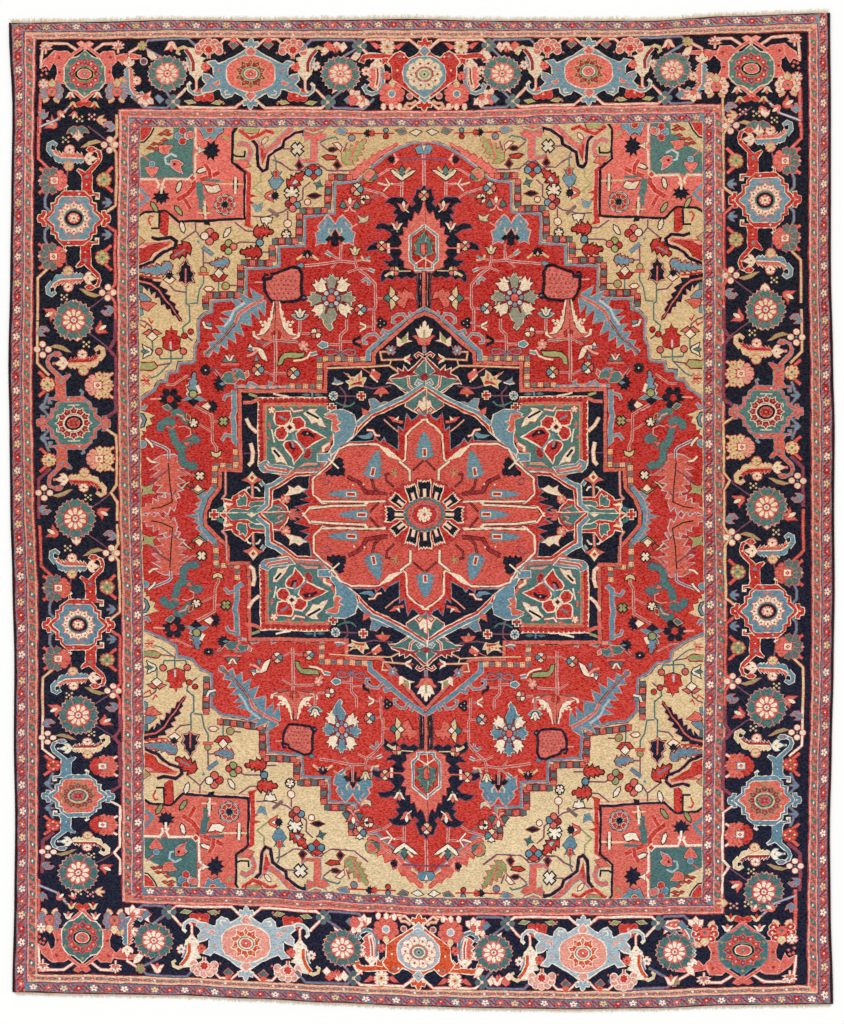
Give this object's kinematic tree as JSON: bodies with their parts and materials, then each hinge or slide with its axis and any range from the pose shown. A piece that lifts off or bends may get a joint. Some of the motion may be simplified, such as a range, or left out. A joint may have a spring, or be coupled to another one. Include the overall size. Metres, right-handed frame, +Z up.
{
  "type": "persian rug",
  "caption": "Room-size hand-knotted wool carpet with a lobed medallion, wide borders, bound sides and short cotton warp fringes, lying flat.",
  "frame": {"origin": "on the floor under the middle of the whole carpet", "axes": "+Z up out of the pile, +Y along the warps towards the end shown at the top, +X across the carpet"},
  "size_m": [3.06, 3.7216, 0.008],
  "materials": {
    "wool_pile": "low clipped wool pile, matt",
    "wool_binding": "overcast wool yarn, matt",
    "cotton_warp": "plain-woven and cut cotton yarn, matt"
  },
  "bodies": {
    "root": {"knotted_ground": "wool_pile", "selvedge_left": "wool_binding", "selvedge_right": "wool_binding", "fringe_top": "cotton_warp", "fringe_bottom": "cotton_warp"}
  },
  "joints": []
}
